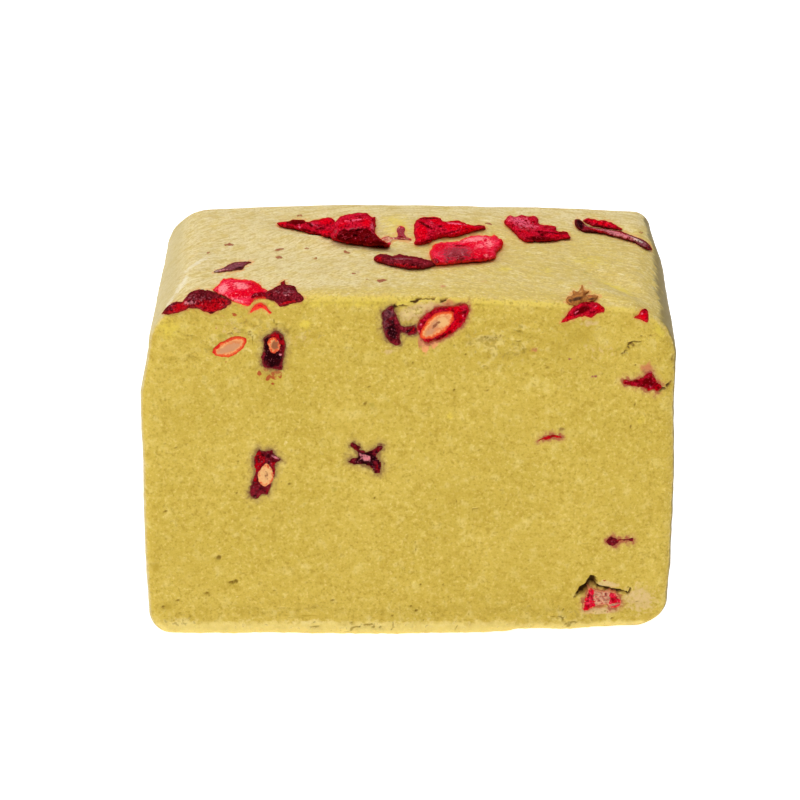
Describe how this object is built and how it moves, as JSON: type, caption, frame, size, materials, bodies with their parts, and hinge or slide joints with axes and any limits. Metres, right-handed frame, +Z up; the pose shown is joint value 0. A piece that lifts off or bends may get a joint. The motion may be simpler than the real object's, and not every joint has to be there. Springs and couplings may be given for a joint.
{
  "type": "cut protein bar with dried fruit",
  "caption": "Cut block of soft protein bar: flat cut faces, rounded top edges, dried red fruit pressed into the top and cut through at the faces.",
  "frame": {"origin": "centre of the bounding box's base, on the surface that the block stands on", "axes": "+Z up; +X along the block's width, to the right as seen from the front cut face; +Y from the front cut face to the back one"},
  "size_m": [0.035, 0.022, 0.0254],
  "materials": {
    "dough": "dense yellow-green dough, matt and finely grained on the cut, with a slight sheen on the pressed skin",
    "red_fruit": "dried fruit flesh, crimson, wrinkled and a little moist",
    "dark_fruit": "dried fruit skin, dark maroon, wrinkled",
    "pink_fruit": "thin dried fruit flesh, pink-red, translucent",
    "fruit_seed": "cut seed, peach core in an orange-red ring",
    "dry_calyx": "dry brown leafy flake"
  },
  "bodies": {
    "root": {"dough": "dough", "calyx": "dry_calyx", "fruit_buried_dark": "dark_fruit", "fruit_buried_small": "pink_fruit", "fruit_chip_right": "red_fruit", "fruit_corner_arch": "red_fruit", "fruit_corner_berry": "dark_fruit", "fruit_corner_dark": "dark_fruit", "fruit_corner_pink": "pink_fruit", "fruit_cut_centre": "red_fruit", "fruit_cut_drop": "dark_fruit", "fruit_cut_edge": "red_fruit", "fruit_cut_low": "pink_fruit", "fruit_cut_lower_left": "dark_fruit", "fruit_cut_middle": "dark_fruit", "fruit_cut_right": "red_fruit", "fruit_cut_skin": "dark_fruit", "fruit_cut_sliver": "red_fruit", "fruit_cut_upper_left": "dark_fruit", "fruit_dark_roll": "dark_fruit", "fruit_left_fold": "dark_fruit", "fruit_left_long": "red_fruit", "fruit_middle_back": "red_fruit", "fruit_middle_bright": "pink_fruit", "fruit_rear_high": "red_fruit", "fruit_rear_left": "dark_fruit", "fruit_rear_low": "red_fruit", "fruit_rear_middle": "red_fruit", "fruit_right_flake": "red_fruit", "fruit_right_flap": "red_fruit", "fruit_right_strip": "dark_fruit", "seed_left": "fruit_seed"}
  },
  "joints": []
}
